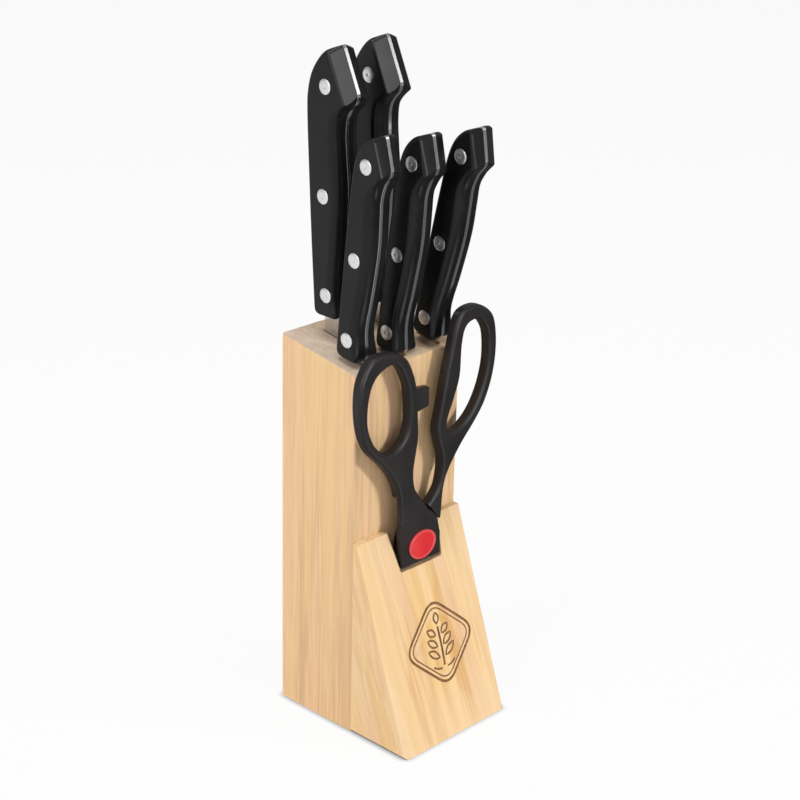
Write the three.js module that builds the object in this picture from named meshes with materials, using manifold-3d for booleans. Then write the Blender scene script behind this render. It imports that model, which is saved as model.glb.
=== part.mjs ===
// A knife block of solid wood with five full-tang knives and a pair of kitchen scissors.
// Millimetres. X runs across the block, -Y is its front, +Z is up, and the floor is Z = 0.
// The origin is on the floor, in the middle of the block behind its front wedge.

import * as THREE from "three";
import { mergeVertices } from "three/addons/utils/BufferGeometryUtils.js";
import Module from "manifold-3d";

const wasm = await Module();
wasm.setup();

// ---- Driving dimensions ----

// Knives: two moulded scales on a full tang, held by three rivets.
const BLADE_THICKNESS = 2;
const SPINE = 7;
const NECK_FRONT = -6;
const HEEL_SINK = 3;
const HEEL_RISE = 5;
const GRIND_START = 0.45;
const EDGE_THICKNESS = 0.4;
const SPINE_DROP_LENGTH = 30;
const TIP_RADIUS = 8;
const SCALLOP_DEPTH = 1.8;
const RIVET_RADIUS = 3.7;
const RIVET_CLEARANCE = 0.1;
const RIVET_PROUD = 0.15;
const SCALE_ROUND_SIDE = 2;
const SCALE_ROUND_EDGE = 1.6;
const GRIP_ROUND_SIDE = 5;
const GRIP_ROUND_EDGE = 4.4;
const TOE_ROUND = 2.5;

// A handle's side view as (across, along) points: + across is the spine side, 0 along is its foot.
const LONG_HANDLE = {
  halfThickness: 8.6,
  back: [[7, 5], [9.2, 34], [11.2, 68], [12.7, 98], [12.3, 108.8], [9.5, 118.4], [3.3, 126.8]],
  peak: [-3.8, 131.4],
  hook: [-14.6, 107.8],
  grip: [[-7.6, 98.3], [-6.5, 89], [-7.4, 77], [-8.6, 62], [-7.6, 36], [-6.2, 16]],
  toe: [-8.6, 3],
  buttSetback: 3.2,
  rivets: [[-1.2, 11], [1.2, 59.5], [0.3, 112]],
};
const SHORT_HANDLE = {
  halfThickness: 7.8,
  back: [[6.5, 5], [7.3, 30], [8.1, 56], [8.5, 82], [8.1, 95], [6.1, 103], [1.8, 109]],
  peak: [-3.9, 112],
  hook: [-10.6, 95.2],
  grip: [[-6.7, 88], [-5.6, 81], [-6.4, 72], [-7.6, 56], [-6.8, 34], [-5.6, 16]],
  toe: [-7.9, 3],
  buttSetback: 1.4,
  rivets: [[-0.1, 10], [0.8, 50.5], [0.1, 96.7]],
};

// Chef's and bread knife stand upright at the back, the short ones lean out at the front.
const CHEF_EDGE = -31;
const BREAD_EDGE = -20;
const UTILITY_EDGE = -8.5;
const BONING_EDGE = -6.5;
const PARING_EDGE = -6.5;
const CHEF_TIP = 18;
const BREAD_TIP = 21;
const UTILITY_TIP = 65;
const BONING_TIP = 72;
const PARING_TIP = 100;
const LONG_SPACING = 15;
const SHORT_SPACING = 24.6;
const BREAD_SET_BACK = 1.5;
const UTILITY_INSET = 12.3;
const BONING_INSET = 10.3;
const PARING_INSET = 9.4;
const LONG_RISE = 11.6;
const SHORT_RISE = 2.2;
const BREAD_PROUD = 0.8;
const BONING_SUNK = 1;
const PARING_PROUD = 1.5;

// Block: boards glued side by side, with a sloping top and a wedge glued to the front.
const BLOCK_WIDTH = 73;
const BACK_HEIGHT = 200;
const TOP_DROP = 8.5;
const FRONT_WALL = 3.7;
const BACK_WALL = 7.7;
const CORNER_EASE = 1.8;
const SLOT_SIDE_CLEARANCE = 0.5;
const SLOT_EDGE_CLEARANCE = 0.8;
const SLOT_END_CLEARANCE = 0.5;

const BLOCK_DEPTH = FRONT_WALL + SPINE - CHEF_EDGE + 2 * SLOT_EDGE_CLEARANCE + BACK_WALL;
const FRONT = -BLOCK_DEPTH / 2;
const BACK = BLOCK_DEPTH / 2;
const SLOT_WIDTH = BLADE_THICKNESS + 2 * SLOT_SIDE_CLEARANCE;
const CHEF_Y = BACK - BACK_WALL - SLOT_EDGE_CLEARANCE - SPINE;

// y is where the knife's axis meets its handle's foot, rise is that foot's height over the block's
// top, and tip is the height of the blade's tip over the floor.
const KNIVES = [
  { name: "chef_knife", handle: LONG_HANDLE, x: -LONG_SPACING, y: CHEF_Y, rise: LONG_RISE, leanDeg: 0,
    edge: CHEF_EDGE, tip: CHEF_TIP, belly: 70 },
  { name: "bread_knife", handle: LONG_HANDLE, x: LONG_SPACING, y: CHEF_Y + BREAD_SET_BACK,
    rise: LONG_RISE + BREAD_PROUD, leanDeg: 0, edge: BREAD_EDGE, tip: BREAD_TIP, belly: 16, scallop: 9 },
  { name: "utility_knife", handle: SHORT_HANDLE, x: -SHORT_SPACING, y: FRONT + UTILITY_INSET,
    rise: SHORT_RISE, leanDeg: 7.4, edge: UTILITY_EDGE, tip: UTILITY_TIP, belly: 45 },
  { name: "boning_knife", handle: SHORT_HANDLE, x: 0, y: FRONT + BONING_INSET,
    rise: SHORT_RISE - BONING_SUNK, leanDeg: 9.3, edge: BONING_EDGE, tip: BONING_TIP, belly: 60 },
  { name: "paring_knife", handle: SHORT_HANDLE, x: SHORT_SPACING, y: FRONT + PARING_INSET,
    rise: SHORT_RISE + PARING_PROUD, leanDeg: 13.6, edge: PARING_EDGE, tip: PARING_TIP, belly: 35 },
];

// Scissors, drawn in the XZ plane about their pivot. The left handle lies over the right one.
const PIVOT_X = 1.6;
const RINGS_OVER_TOP = 20.8;
const SCISSORS_BACK_GAP = 0.4;
const SCISSORS_THICKNESS = 9.6;
const RING_THICKNESS = 6.6;
const RING_FORWARD = 0.9;
const RING_ROUND_FACE = 2.6;
const RING_ROUND_EDGE = 1.7;
const ROOT_TOP = 20.3;
const ROOT_DROP = 8.9;
const ROOT_HALF_WIDTH = 13.8;
const SHEAR_THICKNESS = 1.6;
const SHEAR_GAP = 0.1;
const SHEAR_WIDTH = 13;
const SHEAR_TIP_WIDTH = 3;
const SHEAR_TIP_HEIGHT = 11.7;
const SHEAR_LEAN_DEG = 2.8;
const PIN_RADIUS = 3;
const PIN_CLEARANCE = 0.1;
const PIN_RECESS = 0.2;
const CAP_HALF_WIDTH = 9.3;
const CAP_HALF_HEIGHT = 7.6;
const CAP_THICKNESS = 1.3;
const CAP_ROUND = 0.6;

const LEFT_SHANK_OUT = [[-14.8, 7.3], [-14.6, 18.3], [-16.3, 31.7], [-20.2, 40], [-26.6, 48.3]];
const LEFT_RING = [[-37.6, 59.7], [-42.4, 71], [-44, 84.5], [-42.3, 96.2], [-35.2, 105.5], [-23, 106.1],
  [-12.5, 100.9], [-6.9, 91], [-4.7, 83.1]];
const LEFT_LUG = [[4.4, 81.9], [4.2, 72.1], [-3.4, 70.9]];
const LEFT_SHANK_IN = [[-2.8, 57.3], [-4.3, 48.3], [-5.5, 40.3], [-4.4, 31.8], [-1, 26.1]];
const LEFT_ROOT = [[2.4, 21.7], [10.5, 11.6], [13.2, 2.3]];
const LEFT_HOLE = [[-19.4, 99.1], [-29.6, 97.9], [-35.5, 92.2], [-38, 81.5], [-37.3, 71], [-32.2, 60.7],
  [-24.5, 54.9], [-17.4, 55.4], [-11.6, 61.7], [-10.2, 72.5], [-12, 86.8]];
const ROOT_SPLIT = [[60, 4], [13, 9.7], [2.2, 23.3], [-5.2, 28.7]];
const RIGHT_SHANK_OUT = [[12, 1.3], [15.1, 9.3], [15.8, 18.3], [17, 27.1], [20.6, 35]];
const RIGHT_RING = [[28.5, 45.1], [38.5, 55.1], [45.9, 64.1], [51.1, 77.3], [52.5, 92.5], [50.2, 106.2],
  [44.3, 113.1], [36, 116.6], [27, 115.5], [22.6, 109.9], [19.6, 98.5], [16.2, 85]];
const RIGHT_SHANK_IN = [[12.8, 69.4], [10.4, 58.3], [11.8, 50.3], [14.4, 42.9], [14.7, 34.3], [12.6, 26.1],
  [8, 20.9]];
const RIGHT_HOLE = [[37.6, 108.7], [29.7, 107.1], [26.8, 98.5], [26, 82.5], [22.1, 71], [17.7, 60.5],
  [19.4, 54.6], [27, 54.6], [35.8, 60.2], [42.7, 70.5], [46.4, 83.6], [46, 96], [43.4, 103.4]];

// Wedge, with the notch that holds the scissors' root and the pocket that holds their blades.
const WEDGE_REACH = 39;
const WEDGE_LEDGE = 3.6;
const WEDGE_EASE = 1.4;
const NOTCH_DEPTH = 20.4;
const NOTCH_SIDE_CLEARANCE = 0.8;
const NOTCH_FLOOR_CLEARANCE = 2.2;
const NOTCH_FLARE_DEG = 9.5;
const POCKET_HALF_WIDTH = 16;
const POCKET_FRONT_CLEARANCE = 0.7;
const POCKET_END_CLEARANCE = 5.7;
const POCKET_WALL = 0.4;

const SCISSORS_BACK = FRONT - SCISSORS_BACK_GAP;
const SCISSORS_FRONT = SCISSORS_BACK - SCISSORS_THICKNESS;
const SHEAR_PLANE = (SCISSORS_BACK + SCISSORS_FRONT) / 2;
const RING_PLANE = SHEAR_PLANE - RING_FORWARD;
const PIVOT_Z = BACK_HEIGHT - TOP_DROP + RINGS_OVER_TOP - Math.max(...RIGHT_RING.map(([, v]) => v));
const NOTCH_FLOOR = PIVOT_Z - ROOT_DROP - NOTCH_FLOOR_CLEARANCE;
const NOTCH_HALF_WIDTH = ROOT_HALF_WIDTH + NOTCH_SIDE_CLEARANCE;
const WEDGE_HEIGHT = NOTCH_FLOOR + NOTCH_DEPTH;

// ---- Shapes and solids ----

const CURVE_STEPS = 2;
const ROUND_STEPS = 2;
const HOLE_STEPS = 26;
const FAR = 2 * BACK_HEIGHT;

function solid(geometry) {
  const bare = geometry.clone();
  bare.deleteAttribute("normal");
  bare.deleteAttribute("uv");
  const merged = mergeVertices(bare, 1e-4);
  return new wasm.Manifold(
    new wasm.Mesh({
      numProp: 3,
      vertProperties: merged.attributes.position.array,
      triVerts: new Uint32Array(merged.index.array),
    }),
  );
}

function geometryOf(manifold) {
  const mesh = manifold.getMesh();
  const points = new Float32Array(mesh.numVert * 3);
  for (let i = 0; i < mesh.numVert; i++) {
    points.set(mesh.vertProperties.subarray(i * mesh.numProp, i * mesh.numProp + 3), i * 3);
  }
  const geometry = new THREE.BufferGeometry();
  geometry.setAttribute("position", new THREE.BufferAttribute(points, 3));
  geometry.setIndex(new THREE.BufferAttribute(new Uint32Array(mesh.triVerts), 1));
  geometry.computeVertexNormals();
  return geometry;
}

function box(x0, x1, y0, y1, z0, z1) {
  const geometry = new THREE.BoxGeometry(x1 - x0, y1 - y0, z1 - z0);
  return geometry.translate((x0 + x1) / 2, (y0 + y1) / 2, (z0 + z1) / 2);
}

// A profile drawn in the YZ plane, made thick along X from x0 to x1.
function alongX(shape, x0, x1, options = {}) {
  const inset = options.bevelThickness ?? 0;
  const geometry = new THREE.ExtrudeGeometry(shape, {
    depth: x1 - x0 - 2 * inset,
    curveSegments: CURVE_STEPS,
    bevelEnabled: false,
    ...options,
  });
  geometry.translate(0, 0, x0 + inset);
  const turn = new THREE.Matrix4().makeBasis(
    new THREE.Vector3(0, 1, 0),
    new THREE.Vector3(0, 0, 1),
    new THREE.Vector3(1, 0, 0),
  );
  return geometry.applyMatrix4(turn);
}

// A profile drawn in the XZ plane, made thick along Y from y0 to y1.
function alongY(shape, y0, y1, options = {}) {
  const inset = options.bevelThickness ?? 0;
  const geometry = new THREE.ExtrudeGeometry(shape, {
    depth: y1 - y0 - 2 * inset,
    curveSegments: CURVE_STEPS,
    bevelEnabled: false,
    ...options,
  });
  geometry.translate(0, 0, inset - y1);
  return geometry.rotateX(Math.PI / 2);
}

// The same, for a profile drawn about the scissors' pivot.
function aboutPivot(shape, y0, y1, options) {
  return alongY(shape, y0, y1, options).translate(PIVOT_X, 0, PIVOT_Z);
}

function rounding(side, edge, steps) {
  return {
    bevelEnabled: true,
    bevelThickness: side,
    bevelSize: edge,
    bevelOffset: -edge,
    bevelSegments: steps,
  };
}

function vectors(points) {
  return points.map(([u, v]) => new THREE.Vector2(u, v));
}

function polygon(points) {
  return new THREE.Shape(vectors(points));
}

// A smooth closed hole through the given points.
function roundHole(points) {
  const curve = new THREE.CatmullRomCurve3(points.map(([u, v]) => new THREE.Vector3(u, v, 0)), true);
  return new THREE.Path(curve.getPoints(HOLE_STEPS).slice(0, -1).map(({ x, y }) => new THREE.Vector2(x, y)));
}

const paint = (color, roughness, metalness = 0) =>
  new THREE.MeshStandardMaterial({ color, roughness, metalness });
const boardWood = paint(0xe9c596, 0.6);
const wedgeWood = paint(0xf0cd96, 0.6);
const blackScale = paint(0x1e1e20, 0.38);
const scissorsBlack = paint(0x242328, 0.45);
const steel = paint(0xc4c6ca, 0.28, 1);
const rivetMetal = paint(0xd2d2d0, 0.35, 1);
const capRed = paint(0xe0383d, 0.35);

const root = new THREE.Group();

function place(name, manifold, material, parent = root) {
  const mesh = new THREE.Mesh(geometryOf(manifold), material);
  mesh.name = name;
  parent.add(mesh);
}

// ---- Block ----

function topAt(y) {
  return BACK_HEIGHT - (TOP_DROP * (BACK - y)) / BLOCK_DEPTH;
}

// The whole block with eased upright corners, before it is split into boards.
function blockBody() {
  const plan = new THREE.Shape();
  const w = BLOCK_WIDTH / 2;
  const e = CORNER_EASE;
  plan.moveTo(-w + e, FRONT);
  plan.lineTo(w - e, FRONT);
  plan.quadraticCurveTo(w, FRONT, w, FRONT + e);
  plan.lineTo(w, BACK - e);
  plan.quadraticCurveTo(w, BACK, w - e, BACK);
  plan.lineTo(-w + e, BACK);
  plan.quadraticCurveTo(-w, BACK, -w, BACK - e);
  plan.lineTo(-w, FRONT + e);
  plan.quadraticCurveTo(-w, FRONT, -w + e, FRONT);
  const column = new THREE.ExtrudeGeometry(plan, {
    depth: BACK_HEIGHT,
    bevelEnabled: false,
    curveSegments: CURVE_STEPS,
  });
  const sloped = polygon([
    [FRONT - 1, 0],
    [BACK + 1, 0],
    [BACK + 1, topAt(BACK + 1)],
    [FRONT - 1, topAt(FRONT - 1)],
  ]);
  return solid(column).intersect(solid(alongX(sloped, -BLOCK_WIDTH, BLOCK_WIDTH)));
}

function footOf(knife) {
  return topAt(knife.y) + knife.rise;
}

function bladeLength(knife) {
  return (footOf(knife) - knife.tip) / Math.cos(THREE.MathUtils.degToRad(knife.leanDeg));
}

function knifeMatrix(knife) {
  const turn = new THREE.Matrix4().makeRotationX(THREE.MathUtils.degToRad(knife.leanDeg));
  return turn.setPosition(knife.x, knife.y, footOf(knife));
}

// The groove that takes one blade, open at the top of the block.
function slotOf(knife) {
  const groove = box(
    -SLOT_WIDTH / 2,
    SLOT_WIDTH / 2,
    knife.edge - SLOT_EDGE_CLEARANCE,
    SPINE + SLOT_EDGE_CLEARANCE,
    -bladeLength(knife) - SLOT_END_CLEARANCE,
    FAR,
  );
  return solid(groove.applyMatrix4(knifeMatrix(knife)));
}

// Each slot is a groove in the left face of a board, closed by the board before it.
function addBoards() {
  const body = blockBody();
  const slotted = [...KNIVES].sort((a, b) => a.x - b.x);
  const joints = slotted.map((knife) => knife.x - SLOT_WIDTH / 2);
  const faces = [-BLOCK_WIDTH / 2, ...joints, BLOCK_WIDTH / 2];
  for (let i = 0; i + 1 < faces.length; i++) {
    const slab = solid(box(faces[i], faces[i + 1], -FAR, FAR, -FAR, FAR));
    let board = body.intersect(slab);
    if (i > 0) board = board.subtract(slotOf(slotted[i - 1]));
    place(`block_board_${i + 1}`, board, boardWood);
  }
}

// The wedge is flush with the block's sides. A notch in its top holds the root of the scissors,
// and the pocket behind it, closed by the block, holds their blades.
function addWedge() {
  const profile = polygon([
    [FRONT + 3 * WEDGE_EASE, 0],
    [FRONT + 3 * WEDGE_EASE, WEDGE_HEIGHT],
    [FRONT - WEDGE_LEDGE, WEDGE_HEIGHT],
    [FRONT - WEDGE_REACH, 0],
  ]);
  const eased = alongX(profile, -BLOCK_WIDTH / 2, BLOCK_WIDTH / 2, rounding(WEDGE_EASE, WEDGE_EASE, 1));
  const behind = box(-FAR, FAR, FRONT, FAR, -FAR, FAR);

  const rise = 2 * NOTCH_DEPTH;
  const flare = rise * Math.tan(THREE.MathUtils.degToRad(NOTCH_FLARE_DEG));
  const notch = polygon([
    [PIVOT_X - NOTCH_HALF_WIDTH, NOTCH_FLOOR],
    [PIVOT_X + NOTCH_HALF_WIDTH, NOTCH_FLOOR],
    [PIVOT_X + NOTCH_HALF_WIDTH + flare, NOTCH_FLOOR + rise],
    [PIVOT_X - NOTCH_HALF_WIDTH - flare, NOTCH_FLOOR + rise],
  ]);

  const pocketFront = SHEAR_PLANE - SHEAR_GAP / 2 - SHEAR_THICKNESS - POCKET_FRONT_CLEARANCE;
  const slope = (WEDGE_REACH - WEDGE_LEDGE) / WEDGE_HEIGHT;
  const pocketTop = WEDGE_HEIGHT - (FRONT - pocketFront + POCKET_WALL - WEDGE_LEDGE) / slope;
  const pocketFloor = SHEAR_TIP_HEIGHT - POCKET_END_CLEARANCE;
  const pocket = box(
    PIVOT_X - POCKET_HALF_WIDTH,
    PIVOT_X + POCKET_HALF_WIDTH,
    pocketFront,
    BACK,
    pocketFloor,
    pocketTop,
  );
  const wedge = solid(eased)
    .subtract(solid(behind))
    .subtract(solid(alongY(notch, -FAR, FAR)))
    .subtract(solid(pocket));
  place("block_wedge", wedge, wedgeWood);
}

// ---- Knives ----

function handleShape(handle) {
  const [hookAcross, hookAlong] = handle.hook;
  const [toeAcross] = handle.toe;
  const [cornerAcross, cornerAlong] = handle.back[0];
  const shape = new THREE.Shape();
  shape.moveTo(toeAcross + TOE_ROUND, 0);
  shape.lineTo(cornerAcross - cornerAlong, 0);
  shape.quadraticCurveTo(cornerAcross, 0, cornerAcross, cornerAlong);
  shape.splineThru(vectors([...handle.back.slice(1), handle.peak]));
  shape.lineTo(hookAcross, hookAlong);
  shape.quadraticCurveTo(hookAcross - 0.6, hookAlong - 2.6, hookAcross + 2, hookAlong - 3.4);
  shape.splineThru(vectors([...handle.grip, handle.toe]));
  shape.quadraticCurveTo(toeAcross, 0, toeAcross + TOE_ROUND, 0);
  return shape;
}

// The slanted flat that cuts the butt, as a prism to take away from the outer scale.
function buttBevel(handle) {
  const [peak, hook] = vectors([handle.peak, handle.hook]);
  const run = peak.clone().sub(hook);
  const length = run.length();
  const inner = BLADE_THICKNESS / 2;
  const outer = handle.halfThickness;
  const section = polygon([
    [0, inner - 1],
    [0, inner],
    [-handle.buttSetback, outer],
    [-handle.buttSetback, outer + 2],
    [length, outer + 2],
    [length, inner - 1],
  ]);
  const geometry = new THREE.ExtrudeGeometry(section, { depth: 2 * length, bevelEnabled: false });
  geometry.translate(0, 0, -length / 2);
  const up = new THREE.Vector3(0, run.x, run.y).normalize();
  const side = new THREE.Vector3(1, 0, 0);
  const out = new THREE.Vector3().crossVectors(side, up);
  const turn = new THREE.Matrix4().makeBasis(out, side, up).setPosition(0, hook.x, hook.y);
  return geometry.applyMatrix4(turn);
}

function rivet(handle, [across, along], clearance) {
  const length = 2 * (handle.halfThickness + RIVET_PROUD) + 4 * clearance;
  const radius = RIVET_RADIUS + clearance;
  const pin = new THREE.CylinderGeometry(radius, radius, length, 20);
  return solid(pin.rotateZ(Math.PI / 2).translate(0, across, along));
}

function drilled(manifold, handle) {
  return handle.rivets.reduce(
    (rest, spot) => rest.subtract(rivet(handle, spot, RIVET_CLEARANCE)),
    manifold,
  );
}

// All that lies behind the front of the grip, whose front edges are rounded more than the others.
function behindGrip(handle) {
  const outer = handle.halfThickness;
  const [hookAcross, hookAlong] = handle.hook;
  const [toeAcross, toeAlong] = handle.toe;
  const shape = new THREE.Shape();
  shape.moveTo(hookAlong, -hookAlong);
  shape.lineTo(toeAcross, -hookAlong);
  shape.lineTo(toeAcross, toeAlong);
  shape.splineThru(vectors(handle.grip).reverse());
  shape.lineTo(2 * hookAcross, hookAlong - 8);
  shape.lineTo(2 * hookAcross, 2 * hookAlong);
  shape.lineTo(hookAlong, 2 * hookAlong);
  return solid(alongX(shape, -outer, outer, rounding(GRIP_ROUND_SIDE, GRIP_ROUND_EDGE, ROUND_STEPS)));
}

function scaleSolid(handle) {
  const outer = handle.halfThickness;
  const rounded = alongX(
    handleShape(handle),
    -outer,
    outer,
    rounding(SCALE_ROUND_SIDE, SCALE_ROUND_EDGE, ROUND_STEPS),
  );
  const outside = box(BLADE_THICKNESS / 2, FAR, -FAR, FAR, -FAR, FAR);
  const scale = solid(rounded)
    .intersect(behindGrip(handle))
    .intersect(solid(outside))
    .subtract(solid(buttBevel(handle)));
  return drilled(scale, handle);
}

// The blade's side view, from its heel just inside the slot down to its tip.
function bladeShape(knife) {
  const heel = -knife.rise - HEEL_SINK;
  const tip = -bladeLength(knife);
  const shape = new THREE.Shape();
  shape.moveTo(SPINE, heel + HEEL_RISE);
  shape.lineTo(NECK_FRONT, heel + HEEL_RISE);
  shape.quadraticCurveTo(NECK_FRONT, heel, knife.edge + 1, heel);
  shape.lineTo(knife.edge, heel - 1);
  if (knife.scallop) {
    const count = Math.floor((heel - 6 - tip - knife.belly) / knife.scallop);
    const first = tip + knife.belly + count * knife.scallop;
    shape.lineTo(knife.edge, first);
    for (let i = 1; i <= count; i++) {
      const end = first - i * knife.scallop;
      shape.quadraticCurveTo(knife.edge + SCALLOP_DEPTH, end + knife.scallop / 2, knife.edge, end);
    }
  } else {
    shape.lineTo(knife.edge, tip + knife.belly);
  }
  shape.quadraticCurveTo(knife.edge, tip + knife.belly / 3, SPINE - 4, tip);
  shape.quadraticCurveTo(SPINE, tip + TIP_RADIUS, SPINE, tip + SPINE_DROP_LENGTH);
  return shape;
}

// Flat ground on both sides: full thickness along the spine, thin along the edge.
function bladeSolid(knife) {
  const half = BLADE_THICKNESS / 2;
  const keen = EDGE_THICKNESS / 2;
  const grind = knife.edge + (SPINE - knife.edge) * (1 - GRIND_START);
  const section = polygon([
    [-half, SPINE + 1],
    [-half, grind],
    [-keen, knife.edge],
    [-keen, knife.edge - 1],
    [keen, knife.edge - 1],
    [keen, knife.edge],
    [half, grind],
    [half, SPINE + 1],
  ]);
  const bar = new THREE.ExtrudeGeometry(section, { depth: 2 * FAR, bevelEnabled: false });
  bar.translate(0, 0, -FAR);
  const plate = alongX(bladeShape(knife), -half, half, { curveSegments: 4 });
  const neck = box(-half, half, NECK_FRONT, SPINE - 0.5, -knife.rise - HEEL_SINK, 2);
  return solid(plate).intersect(solid(bar)).add(solid(neck));
}

function addKnife(knife) {
  const { name, handle } = knife;
  const half = BLADE_THICKNESS / 2;
  const group = new THREE.Group();
  group.applyMatrix4(knifeMatrix(knife));
  root.add(group);

  const tang = drilled(solid(alongX(handleShape(handle), -half, half)), handle);
  place(`${name}_blade`, tang.add(bladeSolid(knife)), steel, group);

  const right = scaleSolid(handle);
  place(`${name}_right_scale`, right, blackScale, group);
  place(`${name}_left_scale`, right.mirror([1, 0, 0]), blackScale, group);

  handle.rivets.forEach((spot, i) => {
    place(`${name}_rivet_${i + 1}`, rivet(handle, spot, 0), rivetMetal, group);
  });
}

// ---- Scissors ----

// Left handle: its root, shank and ring, with a stop lug on the inner side.
function leftHandleShape() {
  const shape = new THREE.Shape();
  shape.moveTo(-ROOT_HALF_WIDTH, -ROOT_DROP);
  shape.splineThru(vectors([...LEFT_SHANK_OUT, ...LEFT_RING]));
  vectors(LEFT_LUG).forEach(({ x, y }) => shape.lineTo(x, y));
  shape.splineThru(vectors(LEFT_SHANK_IN));
  vectors(LEFT_ROOT).forEach(({ x, y }) => shape.lineTo(x, y));
  shape.lineTo(ROOT_HALF_WIDTH - 0.5, -ROOT_DROP);
  shape.holes.push(roundHole(LEFT_HOLE));
  return shape;
}

// Right handle: a taller ring, its shank, and the root that turns behind the left one's.
function rightHandleShape() {
  const shape = new THREE.Shape();
  const [start] = RIGHT_SHANK_OUT;
  shape.moveTo(...start);
  shape.splineThru(vectors([...RIGHT_SHANK_OUT.slice(1), ...RIGHT_RING, ...RIGHT_SHANK_IN]));
  shape.lineTo(-8, 8);
  shape.quadraticCurveTo(-12, -2, -6.8, -ROOT_DROP + 0.4);
  shape.lineTo(6.8, -ROOT_DROP + 0.4);
  shape.quadraticCurveTo(11, -4, ...start);
  shape.holes.push(roundHole(RIGHT_HOLE));
  return shape;
}

// A handle is rounded along its ring and shank, and thicker at its root, from y0 to y1.
function scissorsHandle(shape, y0, y1) {
  const half = RING_THICKNESS / 2;
  const ring = aboutPivot(
    shape,
    RING_PLANE - half,
    RING_PLANE + half,
    rounding(RING_ROUND_FACE, RING_ROUND_EDGE, ROUND_STEPS),
  );
  const low = box(-FAR, FAR, y0, y1, 0, PIVOT_Z + ROOT_TOP);
  return solid(ring).add(solid(aboutPivot(shape, y0, y1)).intersect(solid(low)));
}

// Where one root lies over the other, each one keeps to its own side of the pair.
function rootCut(y0, y1) {
  const overlap = polygon([
    [-FAR, -FAR],
    [FAR, -FAR],
    [FAR, ROOT_SPLIT[0][1]],
    ...ROOT_SPLIT,
    [-FAR, ROOT_SPLIT.at(-1)[1]],
  ]);
  return solid(aboutPivot(overlap, y0, y1));
}

function pivotPin(y0, y1, radius) {
  const pin = new THREE.CylinderGeometry(radius, radius, y1 - y0, 24);
  return solid(pin.translate(PIVOT_X, (y0 + y1) / 2, PIVOT_Z));
}

// One shear blade, from its tang in the handle's root to its tip. side is +1 or -1.
function shearShape(side) {
  const length = PIVOT_Z - SHEAR_TIP_HEIGHT;
  const outline = new THREE.Shape();
  outline.moveTo(side * -SHEAR_WIDTH * 0.36, 6);
  outline.lineTo(side * -SHEAR_WIDTH * 0.36, -14);
  outline.lineTo(side * -SHEAR_TIP_WIDTH * 0.3, -length);
  outline.lineTo(side * SHEAR_TIP_WIDTH * 0.7, 2 - length);
  outline.quadraticCurveTo(side * SHEAR_WIDTH * 0.55, -length / 2, side * SHEAR_WIDTH * 0.7, -12);
  outline.lineTo(side * SHEAR_WIDTH * 0.6, 4);
  outline.lineTo(0, 9);
  const lean = THREE.MathUtils.degToRad(SHEAR_LEAN_DEG);
  const points = outline.getPoints(CURVE_STEPS * 3);
  return new THREE.Shape(points.map((point) => point.rotateAround(new THREE.Vector2(), -lean)));
}

function addScissors() {
  const front = SHEAR_PLANE - SHEAR_GAP / 2;
  const back = SHEAR_PLANE + SHEAR_GAP / 2;
  const bore = pivotPin(SCISSORS_FRONT - 1, SCISSORS_BACK + 1, PIN_RADIUS + PIN_CLEARANCE);

  const left = scissorsHandle(leftHandleShape(), SCISSORS_FRONT, SHEAR_PLANE)
    .subtract(rootCut(front - SHEAR_THICKNESS - SHEAR_GAP, FAR))
    .subtract(bore);
  place("scissors_left_handle", left, scissorsBlack);
  const frontShear = aboutPivot(shearShape(1), front - SHEAR_THICKNESS, front);
  place("scissors_front_blade", solid(frontShear).subtract(bore), steel);

  const right = scissorsHandle(rightHandleShape(), SHEAR_PLANE, SCISSORS_BACK)
    .subtract(rootCut(-FAR, back + SHEAR_THICKNESS + SHEAR_GAP))
    .subtract(bore);
  place("scissors_right_handle", right, scissorsBlack);
  const rearShear = aboutPivot(shearShape(-1), back, back + SHEAR_THICKNESS);
  place("scissors_rear_blade", solid(rearShear).subtract(bore), steel);

  const pin = pivotPin(SCISSORS_FRONT + PIN_RECESS, SCISSORS_BACK - PIN_RECESS, PIN_RADIUS);
  place("scissors_pivot_pin", pin, rivetMetal);

  const oval = new THREE.Shape();
  oval.absellipse(0, 0, CAP_HALF_WIDTH, CAP_HALF_HEIGHT, 0, 2 * Math.PI, false, 0);
  const cap = aboutPivot(oval, SCISSORS_FRONT - CAP_THICKNESS, SCISSORS_FRONT + CAP_ROUND, {
    ...rounding(CAP_ROUND, CAP_ROUND, 1),
    curveSegments: 12,
  });
  const plate = box(-FAR, FAR, SCISSORS_FRONT, FAR, -FAR, FAR);
  place("scissors_pivot_cap", solid(cap).subtract(solid(plate)), capRed);
}

addBoards();
addWedge();
KNIVES.forEach(addKnife);
addScissors();

export default root;
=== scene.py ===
import math

import bmesh
import bpy
from mathutils import Matrix, Vector


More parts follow.
